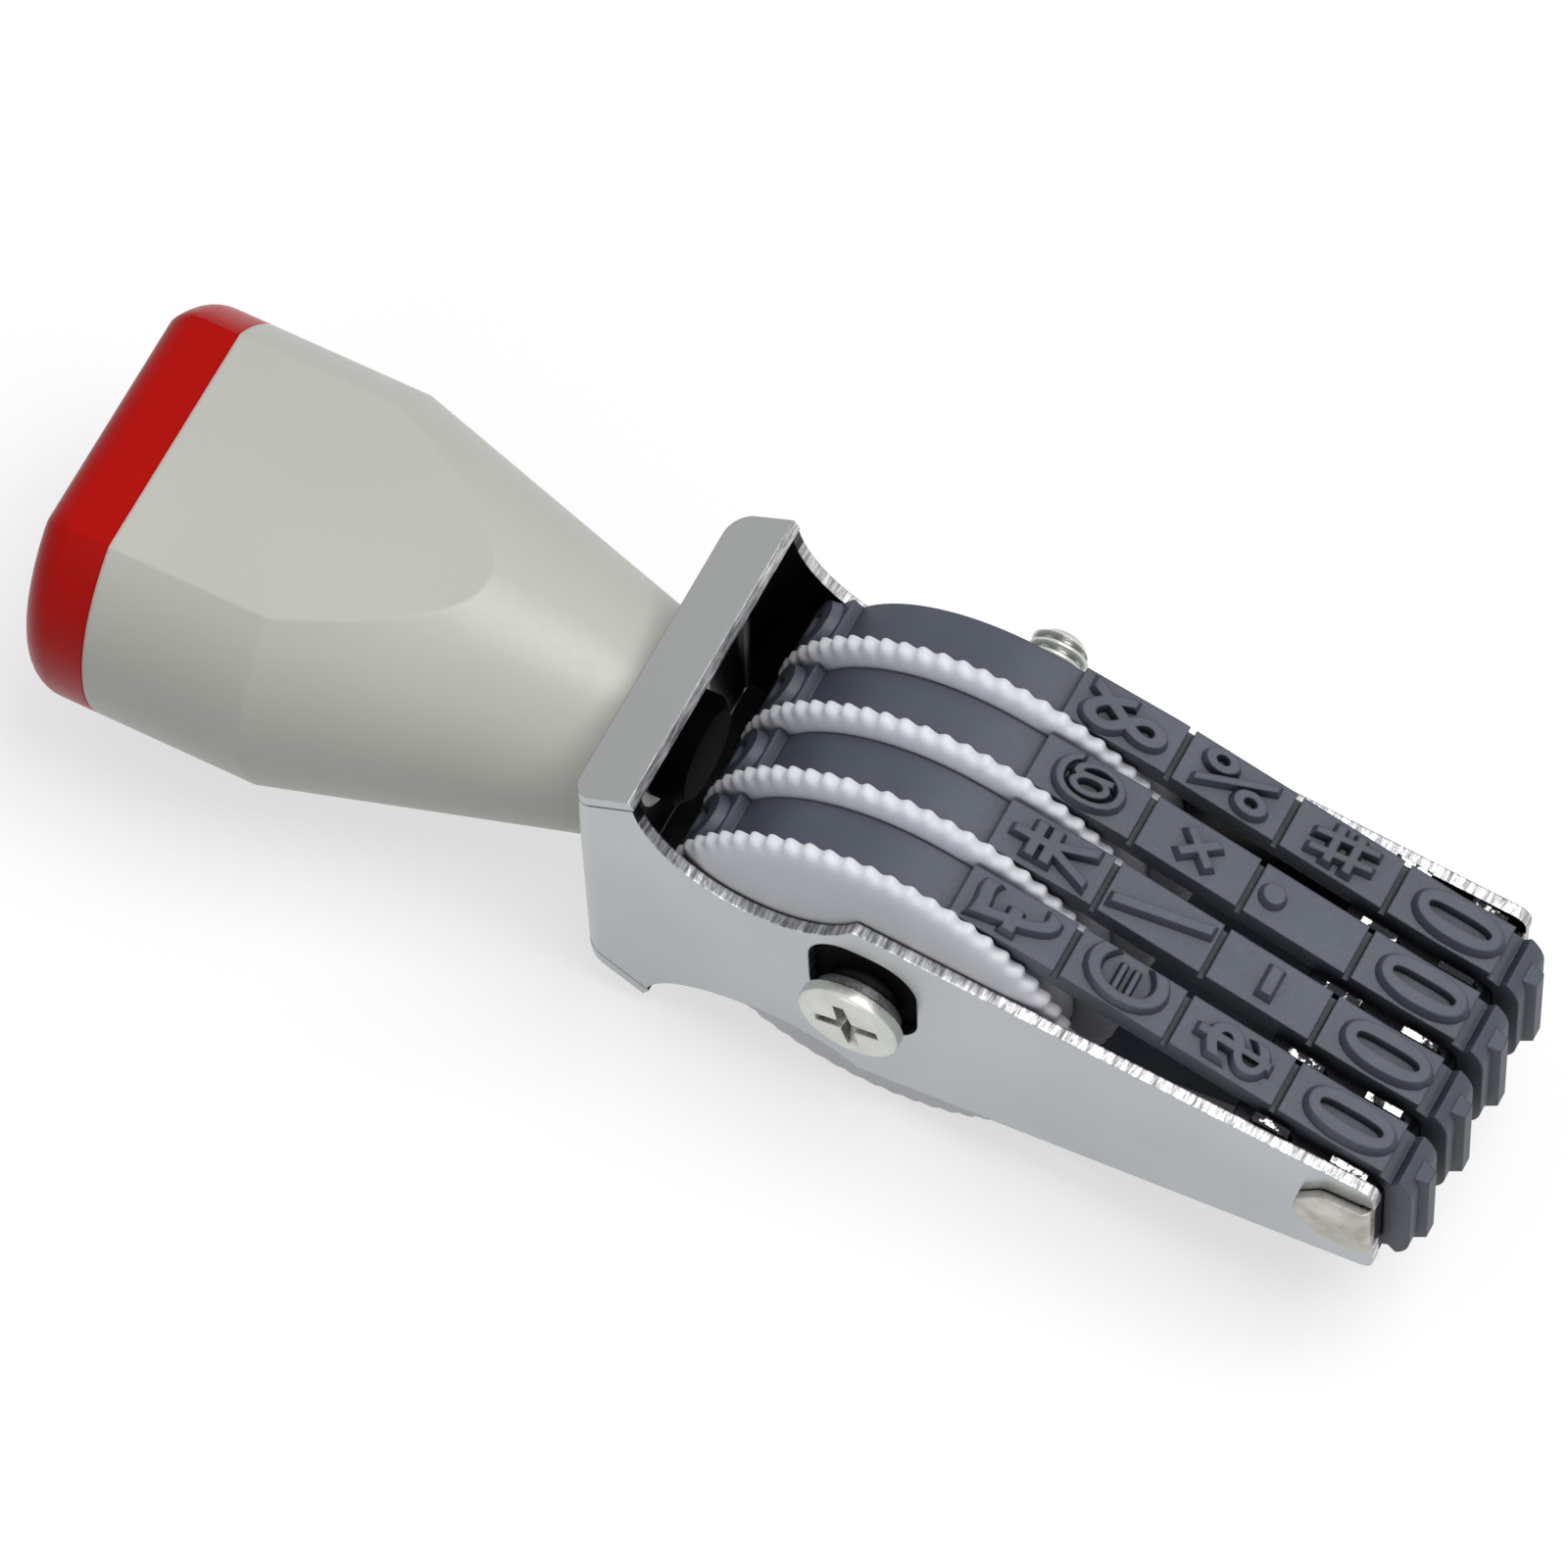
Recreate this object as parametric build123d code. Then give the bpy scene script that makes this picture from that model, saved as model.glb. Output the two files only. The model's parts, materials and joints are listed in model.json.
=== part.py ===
"""Hand numbering stamp: a grip, a bent sheet frame, four thumb wheels on one axle screw and four
rubber type bands that run from the wheels over a bridge at the nose.

Lying on its side: +X runs from the grip to the printing nose, +Y along the axle away from the
screw head, +Z up. Millimetres. Everything is drawn about the centre of the frame's rear plate and
moved at the end, so that the origin is the centre of the bottom of the whole stamp's box.
"""

import os
from math import asin, atan2, cos, hypot, pi, sin

from build123d import *

# Frame: one sheet, folded into a rear plate, two cheeks and two sloped roof flanges
SHEET = 0.8
REAR_WIDTH = 21.8
TIP_TAPER = 0.2
FRAME_LENGTH = 54.6
REAR_HALF_HEIGHT = 10.3
ROOF_RUN = 4.2
ROOF_RISE = 2.65
ROOF_OVERRUN = 1.4
BEND_RADIUS = 1.5
SEAM_GAP = 0.15
CUSP_X = 19.0
CUSP_Z = 9.05
TIP_HALF_HEIGHT = 4.95
FINGER_ARC_X = 12.5
FINGER_ARC_Z = 13.4
FINGER_ARC_RADIUS = 8.1
HOLE_WIDTH = 7.4
HOLE_HEIGHT = 9.2
HOLE_RISE = 1.85
HOLE_CORNER = 3.0
TIP_CORNER = 1.0

# Axle: M4 pan head screw, clamping a sleeve that the wheels turn on
AXLE_X = 19.7
SHANK_RADIUS = 2.0
SLEEVE_RADIUS = 2.5
HEAD_RADIUS = 3.7
HEAD_HEIGHT = 1.6
HEAD_EDGE = 0.6
WASHER_RADIUS = 3.6
WASHER_THICKNESS = 0.3
THREAD_END_Y = 17.0
COLLAR_RADIUS = 3.0
COLLAR_HEIGHT = 1.2

# Thumb wheels: a serrated rim, a thin web and a drum that drives the band
WHEEL_COUNT = 4
WHEEL_RADIUS = 14.5
TEETH = 64
TOOTH_DEPTH = 0.4
RIM_WIDTH = 1.3
DRUM_WALL = 1.4
DRUM_SIDE_COUNT = 40
HUB_RADIUS = 4.6

# Type bands: a rubber loop with raised type blocks
BAND_OUTER_RADIUS = 12.8
BAND_BASE = 1.0
BLOCK_HEIGHT = 0.8
BLOCK_GROOVE = 0.45
BAND_PITCHES = 15
BLOCKS_ABOVE_NOSE = 4
BLOCKS_BELOW_NOSE = 8

# Nose bridge: a folded channel with an ear round the end of each cheek
BRIDGE_SHEET = 0.6
BRIDGE_SETBACK = 0.2
BRIDGE_DEPTH = 9.8
BRIDGE_CORNER = 0.95
PRINT_HALF_HEIGHT = 2.8
EAR_LENGTH = 4.9
EAR_TOP = 3.1
EAR_BOTTOM = -1.9
EAR_POINT_Z = 0.6
EAR_POINT = 0.8
EAR_TAPER = 1.6
EAR_CORNER = 0.9
EAR_GAP = 0.06
PLATE = 0.5
TAB_STANDOUT = 0.95
TAB_LENGTH = 2.4
FRONT_TAB = 2.1
REAR_TAB = 7.3

# Grip: round with two flats, necked down to the frame, closed by a plug cap
GRIP_RADIUS = 13.3
GRIP_NECK_RADIUS = 7.2
GRIP_CONE_LENGTH = 22.2
GRIP_LENGTH = 33.3
FLAT_HALF_HEIGHT = 10.3
CAP_THICKNESS = 4.9
CAP_EDGE = 1.6
GRIP_WALL = 2.2
CAVITY_END_X = -18.0
CAVITY_SIDE_COUNT = 32
PLUG_LENGTH = 4.0
PLUG_WALL = 1.3

# Grip screw: M4 through the rear plate into the grip's neck
GRIP_SCREW_LENGTH = 12.0
PILOT_OVERRUN = 1.0
GRIP_WASHER_RADIUS = 4.5
GRIP_WASHER_THICKNESS = 0.5
GRIP_HEAD_HEIGHT = 2.2

# Fits
RUNNING = 0.05
SLIDING = 0.1

# Sizes that follow
TIP_WIDTH = REAR_WIDTH - TIP_TAPER
SLANT = TIP_TAPER / 2 / FRAME_LENGTH
BAND_INNER_RADIUS = BAND_OUTER_RADIUS - BAND_BASE
DRUM_RADIUS = BAND_INNER_RADIUS - SLIDING
BRIDGE_FACE_X = FRAME_LENGTH - BRIDGE_SETBACK
NOSE_CORNER = BRIDGE_CORNER + RUNNING
NOSE_CORNER_X = BRIDGE_FACE_X - BRIDGE_CORNER
WHEEL_FRONT_X = AXLE_X + WHEEL_RADIUS


def cheek_face(x):
    """Outer face of a cheek at x: its distance from the middle plane."""
    return REAR_WIDTH / 2 - SLANT * x


# The wheels fill the room between the cheeks, and the bands the room beside each rim
FIRST_RIM_Y = SLIDING - cheek_face(WHEEL_FRONT_X) + SHEET
WHEEL_PITCH = (SLIDING - 2 * FIRST_RIM_Y) / WHEEL_COUNT
DRUM_REACH = WHEEL_PITCH - SLIDING
BAND_WIDTH = DRUM_REACH - RIM_WIDTH - SLIDING / 2
BAND_SPACING_AT_NOSE = (TIP_WIDTH - 2 * SHEET - 2 * SLIDING) / WHEEL_COUNT
BAND_BEND_X = (WHEEL_FRONT_X - 3 * BAND_BASE, BRIDGE_FACE_X - NOSE_CORNER - PRINT_HALF_HEIGHT)
WASHER_Y = -cheek_face(AXLE_X - WASHER_RADIUS) - 0.01
SLEEVE_END_Y = cheek_face(AXLE_X + SLEEVE_RADIUS) - SHEET - 0.02


def slab(sketch, low, high):
    """A side view, drawn in X and Z, made solid from y = low to y = high."""
    return extrude(Plane.XZ.offset(-low) * sketch, amount=high - low, dir=(0, 1, 0))


def column(sketch, half):
    """A plan view, drawn in X and Y, made solid from z = -half to z = half."""
    return extrude(Pos(0, 0, -half) * sketch, amount=2 * half, dir=(0, 0, 1))


def side_disc(x, z, radius, low, high):
    """A round bar along Y."""
    return slab(Pos(x, z) * Circle(radius), low, high)


# ---------------------------------------------------------------- frame


def cheek_outline():
    """Side view of the frame: finger arcs behind the wheels, then a straight taper to the nose."""
    slope = hypot(ROOF_RUN, ROOF_RISE)
    drop = (SHEET + SEAM_GAP) * slope / ROOF_RUN
    rear_z = REAR_HALF_HEIGHT - drop
    roof_x = ROOF_RUN + ROOF_OVERRUN
    roof_z = rear_z + ROOF_RISE / ROOF_RUN * roof_x
    half = [(0, rear_z), (roof_x, roof_z), (CUSP_X, CUSP_Z), (FRAME_LENGTH, TIP_HALF_HEIGHT)]
    mirrored = [(x, -z) for x, z in reversed(half)]
    outline = Polygon(*half, *mirrored, align=None)
    for side in (1, -1):
        outline -= Pos(FINGER_ARC_X, side * FINGER_ARC_Z) * Circle(FINGER_ARC_RADIUS)
    tips = [v for v in outline.vertices() if v.X > FRAME_LENGTH - 0.01]
    return fillet(tips, TIP_CORNER)


def frame_plan():
    """Plan view of the folded frame's outside, its rear corners rounded by the bends."""
    rear = REAR_WIDTH / 2
    tip = TIP_WIDTH / 2
    outer = Polygon((0, -rear), (FRAME_LENGTH, -tip), (FRAME_LENGTH, tip), (0, rear), align=None)
    return fillet([v for v in outer.vertices() if v.X < 0.01], BEND_RADIUS)


def folded_strip():
    """The rear plate and the two cheeks, as tall as the frame."""
    front = FRAME_LENGTH + 1
    inner_rear = cheek_face(SHEET) - SHEET
    inner_tip = cheek_face(front) - SHEET
    room = Polygon(
        (SHEET, -inner_rear), (front, -inner_tip), (front, inner_tip), (SHEET, inner_rear), align=None
    )
    room = fillet([v for v in room.vertices() if v.X < SHEET + 0.01], BEND_RADIUS - SHEET)
    return column(frame_plan() - room, FINGER_ARC_Z)


def roof_flange(side):
    """A sloped flange that carries on from the rear plate over the cheeks' rear corners."""
    slope = hypot(ROOF_RUN, ROOF_RISE)
    lip_x = ROOF_RUN + SHEET * ROOF_RISE / slope
    lip_z = REAR_HALF_HEIGHT + ROOF_RISE - SHEET * ROOF_RUN / slope
    bend_z = lip_z - ROOF_RISE / ROOF_RUN * (lip_x - SHEET)
    start_z = REAR_HALF_HEIGHT - SHEET / 2
    points = [
        (0, start_z),
        (0, REAR_HALF_HEIGHT),
        (ROOF_RUN, REAR_HALF_HEIGHT + ROOF_RISE),
        (lip_x, lip_z),
        (SHEET, bend_z),
        (SHEET, start_z),
    ]
    flange = Polygon(*[(x, side * z) for x, z in points], align=None)
    flange_half = cheek_face(ROOF_RUN)
    root_half = REAR_WIDTH / 2 - BEND_RADIUS
    root = Pos(SHEET / 2, side * (REAR_HALF_HEIGHT - 1.5 * SHEET)) * Rectangle(SHEET, 3 * SHEET)
    sheet = slab(flange, -flange_half, flange_half) & column(frame_plan(), 2 * FINGER_ARC_Z)
    return sheet + slab(root, -root_half, root_half)


def make_frame():
    outline = slab(cheek_outline(), -REAR_WIDTH, REAR_WIDTH)
    frame = folded_strip() & outline
    for side in (1, -1):
        frame += roof_flange(side)
    far_y = cheek_face(AXLE_X)
    frame += side_disc(AXLE_X, 0, COLLAR_RADIUS, far_y - SHEET / 2, far_y + COLLAR_HEIGHT)
    frame -= side_disc(AXLE_X, 0, SHANK_RADIUS + RUNNING, 0, REAR_WIDTH)
    hole = Pos(AXLE_X + 0.25, HOLE_RISE) * RectangleRounded(HOLE_WIDTH, HOLE_HEIGHT, HOLE_CORNER)
    frame -= slab(hole, -REAR_WIDTH, 0)
    frame -= Rot(0, 90, 0) * Cylinder(SHANK_RADIUS + SLIDING, 4 * SHEET)
    notch_x = BRIDGE_FACE_X - BRIDGE_SHEET - SLIDING
    notch_low = EAR_BOTTOM - SLIDING
    notch_high = EAR_TOP + 3 * SLIDING
    notch_size = Rectangle(2 * (FRAME_LENGTH - notch_x), notch_high - notch_low)
    notch = Pos(FRAME_LENGTH, (notch_low + notch_high) / 2) * notch_size
    return frame - slab(notch, -REAR_WIDTH, REAR_WIDTH)


# ---------------------------------------------------------------- axle


def pan_head(radius, height, top_y):
    """A pan head along Y, its top at top_y."""
    head = side_disc(0, 0, radius, top_y, top_y + height)
    return chamfer(head.edges().group_by(Axis.Y)[0], HEAD_EDGE)


def make_axle_screw():
    top_y = WASHER_Y - WASHER_THICKNESS - HEAD_HEIGHT
    screw = pan_head(HEAD_RADIUS, HEAD_HEIGHT, top_y)
    shank = side_disc(0, 0, SHANK_RADIUS, WASHER_Y - WASHER_THICKNESS, THREAD_END_Y)
    shank = chamfer(shank.edges().group_by(Axis.Y)[-1], 0.4)
    return Pos(AXLE_X, 0, 0) * (screw + shank)


def make_axle_washer():
    ring = Circle(WASHER_RADIUS) - Circle(SHANK_RADIUS + SLIDING)
    return Pos(AXLE_X, 0, 0) * slab(ring, WASHER_Y - WASHER_THICKNESS, WASHER_Y)


def make_axle_sleeve():
    ring = Circle(SLEEVE_RADIUS) - Circle(SHANK_RADIUS + RUNNING)
    return Pos(AXLE_X, 0, 0) * slab(ring, WASHER_Y, SLEEVE_END_Y)


# ---------------------------------------------------------------- thumb wheels


def serrated_rim():
    """Side view of a wheel's rim, with pointed serrations for the thumb."""
    step = 2 * pi / TEETH
    points = []
    for tooth in range(TEETH):
        for share, radius in ((0, WHEEL_RADIUS), (0.5, WHEEL_RADIUS - TOOTH_DEPTH)):
            angle = (tooth + share) * step
            points.append((radius * cos(angle), radius * sin(angle)))
    return Polygon(*points, align=None)


def make_wheel():
    """One thumb wheel: serrated disc, drum with driving flats open on the far side, and a hub."""
    wheel = slab(serrated_rim(), 0, RIM_WIDTH)
    wheel += slab(RegularPolygon(DRUM_RADIUS, DRUM_SIDE_COUNT), RIM_WIDTH / 2, DRUM_REACH)
    wheel -= slab(RegularPolygon(DRUM_RADIUS - DRUM_WALL, DRUM_SIDE_COUNT), RIM_WIDTH, WHEEL_PITCH)
    wheel += slab(RegularPolygon(HUB_RADIUS, DRUM_SIDE_COUNT // 2), RIM_WIDTH / 2, DRUM_REACH)
    wheel -= slab(Circle(SLEEVE_RADIUS + RUNNING), -WHEEL_PITCH, WHEEL_PITCH)
    return Pos(AXLE_X, FIRST_RIM_Y, 0) * wheel


# ---------------------------------------------------------------- type bands


def band_loop(offset):
    """Side view of the loop a distance outside the band's inner face."""
    drum = Pos(AXLE_X, 0) * Circle(BAND_INNER_RADIUS + offset)
    corner_radius = max(NOSE_CORNER + offset, RUNNING)
    edges = drum.edges()
    for side in (1, -1):
        corner = Pos(NOSE_CORNER_X, side * PRINT_HALF_HEIGHT) * Circle(corner_radius)
        edges += corner.edges()
    return make_hull(edges)


def strand_angle():
    """Slope of the straight strands between the wheel and the nose, in radians."""
    run = NOSE_CORNER_X - AXLE_X
    reach = hypot(run, PRINT_HALF_HEIGHT)
    return asin((BAND_INNER_RADIUS - NOSE_CORNER) / reach) - atan2(PRINT_HALF_HEIGHT, run)


def strand_length():
    run = NOSE_CORNER_X - AXLE_X
    reach = hypot(run, PRINT_HALF_HEIGHT)
    return (reach**2 - (BAND_INNER_RADIUS - NOSE_CORNER) ** 2) ** 0.5


def half_loop():
    """Half the length of the band's inner face."""
    turn = pi / 2 - strand_angle()
    corner = NOSE_CORNER * turn
    drum = BAND_INNER_RADIUS * (pi - turn)
    return PRINT_HALF_HEIGHT + corner + strand_length() + drum


def station(distance):
    """Point on the band's inner face, and the outward angle there, a distance up from the nose."""
    side = 1 if distance >= 0 else -1
    left = abs(distance)
    turn = pi / 2 - strand_angle()
    if left <= PRINT_HALF_HEIGHT:
        return NOSE_CORNER_X + NOSE_CORNER, side * left, 0
    left -= PRINT_HALF_HEIGHT
    if left <= NOSE_CORNER * turn:
        angle = left / NOSE_CORNER
        x = NOSE_CORNER_X + NOSE_CORNER * cos(angle)
        return x, side * (PRINT_HALF_HEIGHT + NOSE_CORNER * sin(angle)), side * angle
    left -= NOSE_CORNER * turn
    if left <= strand_length():
        x = NOSE_CORNER_X + NOSE_CORNER * cos(turn) - left * sin(turn)
        z = PRINT_HALF_HEIGHT + NOSE_CORNER * sin(turn) + left * cos(turn)
        return x, side * z, side * turn
    angle = turn + (left - strand_length()) / BAND_INNER_RADIUS
    x = AXLE_X + BAND_INNER_RADIUS * cos(angle)
    return x, side * BAND_INNER_RADIUS * sin(angle), side * angle


def block_zone(start, end):
    """Side view of the space over the band between two stations."""
    steps = 6
    near = []
    far = []
    for step in range(steps + 1):
        x, z, angle = station(start + (end - start) * step / steps)
        near.append((x, z))
        reach = 3 * (BAND_BASE + BLOCK_HEIGHT)
        far.append((x + reach * cos(angle), z + reach * sin(angle)))
    points = near + far[::-1]
    kept = [points[0]]
    for point in points[1:]:
        if hypot(point[0] - kept[-1][0], point[1] - kept[-1][1]) > 1e-6:
            kept.append(point)
    return Polygon(*kept, align=None)


def band_profile():
    """Side view of a whole band: the plain loop and its raised type blocks."""
    base = band_loop(BAND_BASE)
    raised = band_loop(BAND_BASE + BLOCK_HEIGHT)
    pitch = 2 * half_loop() / BAND_PITCHES
    profile = base
    for block in range(-BLOCKS_BELOW_NOSE, BLOCKS_ABOVE_NOSE + 1):
        start = (block - 0.5) * pitch + BLOCK_GROOVE / 2
        end = (block + 0.5) * pitch - BLOCK_GROOVE / 2
        profile += raised & block_zone(start, end)
    return profile - band_loop(0)


def band_strip(index):
    """Plan view of one band: straight between the wheels, then in towards its place at the nose."""
    wheel_y = FIRST_RIM_Y + index * WHEEL_PITCH + RIM_WIDTH + SLIDING + BAND_WIDTH / 2
    nose_y = (index - (WHEEL_COUNT - 1) / 2) * BAND_SPACING_AT_NOSE
    start_x, end_x = BAND_BEND_X
    path = [(0, wheel_y), (start_x, wheel_y), (end_x, nose_y), (FRAME_LENGTH + WHEEL_PITCH, nose_y)]
    near = [(x, y - BAND_WIDTH / 2) for x, y in path]
    far = [(x, y + BAND_WIDTH / 2) for x, y in reversed(path)]
    return Polygon(*near, *far, align=None)


def make_bands():
    wide = slab(band_profile(), -REAR_WIDTH / 2, REAR_WIDTH / 2)
    bands = []
    for index in range(WHEEL_COUNT):
        bands.append(wide & column(band_strip(index), WHEEL_RADIUS))
    return bands


# ---------------------------------------------------------------- nose bridge


def bridge_plane(thickness):
    """Side view inside the bands: the channel's outer face, moved in by a thickness."""
    return band_loop(-RUNNING - thickness)


def separator_tabs(clearance, standout):
    """Side view of the tabs that stand through the channel's legs."""
    tabs = Sketch()
    for setback in (FRONT_TAB, REAR_TAB):
        strip = Pos(BRIDGE_FACE_X - setback, 0) * Rectangle(TAB_LENGTH + 2 * clearance, 4 * WHEEL_RADIUS)
        tabs += strip & band_loop(standout)
    return tabs


def nose_zone():
    """Side view of the space that the bridge takes, from its legs' ends forward."""
    return Pos(BRIDGE_FACE_X - BRIDGE_DEPTH / 2, 0) * Rectangle(BRIDGE_DEPTH, 4 * WHEEL_RADIUS)


def separator_plane():
    """Side view of one separator plate: it fills the channel and its tabs stand out of it."""
    body = bridge_plane(BRIDGE_SHEET + RUNNING / 2) & nose_zone()
    return body + separator_tabs(0, TAB_STANDOUT)


def separator_places():
    half = cheek_face(BRIDGE_FACE_X) - SHEET - RUNNING - PLATE / 2
    return [-half, -BAND_SPACING_AT_NOSE, 0, BAND_SPACING_AT_NOSE, half]


def ear_outline():
    """Side view of an ear: a strap that narrows to a rounded point."""
    back = BRIDGE_FACE_X - EAR_LENGTH
    ear = Polygon(
        (BRIDGE_FACE_X, EAR_BOTTOM),
        (BRIDGE_FACE_X, EAR_TOP),
        (back + EAR_TAPER, EAR_TOP),
        (back, EAR_POINT_Z + EAR_POINT),
        (back, EAR_POINT_Z - EAR_POINT),
        (back + EAR_TAPER, EAR_BOTTOM),
        align=None,
    )
    rear = [v for v in ear.vertices() if v.X < BRIDGE_FACE_X - 0.01]
    return fillet(rear, EAR_CORNER)


def make_bridge():
    """The channel, its slots for the separators and its two ears."""
    half = cheek_face(BRIDGE_FACE_X) - SHEET - RUNNING
    channel = (bridge_plane(0) - bridge_plane(BRIDGE_SHEET)) & nose_zone()
    bridge = slab(channel, -half, half)
    slots = separator_tabs(RUNNING, BAND_BASE) - bridge_plane(1.5 * BRIDGE_SHEET)
    for y in separator_places():
        bridge -= slab(slots, y - PLATE / 2 - RUNNING, y + PLATE / 2 + RUNNING)
    for side in (1, -1):
        bridge += ear(side)
    return bridge


def ear(side):
    """One ear: out through the cheek's notch and folded back along the cheek's outside."""
    cheek = cheek_face(BRIDGE_FACE_X) + EAR_GAP
    outer = cheek + BRIDGE_SHEET
    root = cheek - SHEET - 2 * BRIDGE_SHEET
    back = BRIDGE_FACE_X - EAR_LENGTH
    strap = Polygon(
        (BRIDGE_FACE_X - BRIDGE_SHEET, root),
        (BRIDGE_FACE_X, root),
        (BRIDGE_FACE_X, outer),
        (back, outer + SLANT * EAR_LENGTH),
        (back, cheek + SLANT * EAR_LENGTH),
        (BRIDGE_FACE_X - BRIDGE_SHEET, cheek),
        align=None,
    )
    corner = [v for v in strap.vertices() if v.X > BRIDGE_FACE_X - 0.01 and v.Y > cheek]
    strap = fillet(corner, BRIDGE_SHEET)
    if side < 0:
        strap = mirror(strap, Plane.XZ)
    return column(strap, WHEEL_RADIUS) & slab(ear_outline(), -REAR_WIDTH, REAR_WIDTH)


def make_separator(y):
    return slab(separator_plane(), y - PLATE / 2, y + PLATE / 2)


# ---------------------------------------------------------------- grip


def turned(points):
    """A solid turned about the X axis, from (x, radius) points."""
    return revolve(Polygon(*points, align=None), Axis.X)


def two_flats(half_height, low_x, high_x):
    """Everything between the grip's two flats."""
    return Pos((low_x + high_x) / 2, 0, 0) * Box(high_x - low_x, 4 * GRIP_RADIUS, 2 * half_height)


def cavity_bar(clearance, low_x, high_x):
    """A bar along X with the section of the grip's cavity, smaller by a clearance."""
    section = RegularPolygon(GRIP_RADIUS - GRIP_WALL - clearance, CAVITY_SIDE_COUNT)
    section &= Rectangle(2 * (FLAT_HALF_HEIGHT - GRIP_WALL - clearance), 4 * GRIP_RADIUS)
    return Rot(0, 90, 0) * extrude(Pos(0, 0, low_x) * section, amount=high_x - low_x, dir=(0, 0, 1))


def make_grip():
    cone_x = -GRIP_CONE_LENGTH
    seam_x = -GRIP_LENGTH
    grip = turned(
        [(0, 0), (0, GRIP_NECK_RADIUS), (cone_x, GRIP_RADIUS), (seam_x, GRIP_RADIUS), (seam_x, 0)]
    )
    grip &= two_flats(FLAT_HALF_HEIGHT, seam_x - 1, 1)
    cavity = cavity_bar(0, seam_x - 1, CAVITY_END_X)
    pilot = Pos(-GRIP_SCREW_LENGTH / 2, 0, 0) * (
        Rot(0, 90, 0) * Cylinder(SHANK_RADIUS + RUNNING, GRIP_SCREW_LENGTH + 2 * PILOT_OVERRUN)
    )
    return grip - cavity - pilot


def cap_edge(reach):
    """From the seam to the cap's end: points whose outer edge is rounded by two chamfers."""
    seam_x = -GRIP_LENGTH
    end_x = seam_x - CAP_THICKNESS
    small = 0.3 * CAP_EDGE
    return [
        (seam_x, reach),
        (end_x + CAP_EDGE, reach),
        (end_x + small, reach - small),
        (end_x, reach - CAP_EDGE),
    ]


def make_cap():
    seam_x = -GRIP_LENGTH
    end_x = seam_x - CAP_THICKNESS
    disc = turned([(seam_x, 0), *cap_edge(GRIP_RADIUS), (end_x, 0)])
    above = cap_edge(FLAT_HALF_HEIGHT)
    below = [(x, -z) for x, z in reversed(above)]
    disc &= slab(Polygon(*above, *below, align=None), -GRIP_RADIUS, GRIP_RADIUS)
    plug_end = seam_x + PLUG_LENGTH
    disc += cavity_bar(SLIDING, seam_x, plug_end)
    hollow_radius = FLAT_HALF_HEIGHT - GRIP_WALL - SLIDING - PLUG_WALL
    hollow_length = plug_end - end_x
    hollow = Rot(0, 90, 0) * Cylinder(hollow_radius, hollow_length)
    return disc - Pos(end_x + GRIP_WALL + hollow_length / 2, 0, 0) * hollow


def make_grip_screw():
    """Pan head screw along X, its head inside the frame and its thread in the grip's neck."""
    seat = SHEET + GRIP_WASHER_THICKNESS
    head = pan_head(HEAD_RADIUS, GRIP_HEAD_HEIGHT, -seat - GRIP_HEAD_HEIGHT)
    shank = side_disc(0, 0, SHANK_RADIUS, -seat, GRIP_SCREW_LENGTH - SHEET)
    return Rot(0, 0, 90) * (head + shank)


def make_grip_washer():
    ring = Circle(GRIP_WASHER_RADIUS) - Circle(SHANK_RADIUS + SLIDING)
    washer = slab(ring, -SHEET - GRIP_WASHER_THICKNESS, -SHEET)
    return Rot(0, 0, 90) * washer


# ---------------------------------------------------------------- the whole stamp


def build_stamp():
    nodes = {
        "frame": make_frame(),
        "handle_body": make_grip(),
        "handle_cap": make_cap(),
        "handle_screw": make_grip_screw(),
        "handle_screw_washer": make_grip_washer(),
        "axle_screw": make_axle_screw(),
        "axle_washer": make_axle_washer(),
        "axle_sleeve": make_axle_sleeve(),
        "nose_bridge": make_bridge(),
    }
    wheel = make_wheel()
    for index, band in enumerate(make_bands()):
        nodes[f"wheel_{index + 1}"] = Pos(0, index * WHEEL_PITCH, 0) * wheel
        nodes[f"band_{index + 1}"] = band
    for index, y in enumerate(separator_places()):
        nodes[f"separator_{index + 1}"] = make_separator(y)
    return nodes


def to_floor(shapes):
    """The move that puts the bottom centre of everything's box at the origin."""
    boxes = [shape.bounding_box() for shape in shapes]
    low_x = min(box.min.X for box in boxes)
    high_x = max(box.max.X for box in boxes)
    low_y = min(box.min.Y for box in boxes)
    high_y = max(box.max.Y for box in boxes)
    low_z = min(box.min.Z for box in boxes)
    return Pos(-(low_x + high_x) / 2, -(low_y + high_y) / 2, -low_z)


def main():
    nodes = build_stamp()
    shift = to_floor(nodes.values())
    os.makedirs("parts", exist_ok=True)
    for name, shape in nodes.items():
        export_step(shift * shape, f"parts/{name}.step")


main()
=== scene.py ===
"""Looks of the hand numbering stamp: materials, type relief, screws, wheels, light and camera."""

import json
from math import asin, atan2, cos, hypot, pi, radians, sin, sqrt

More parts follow.
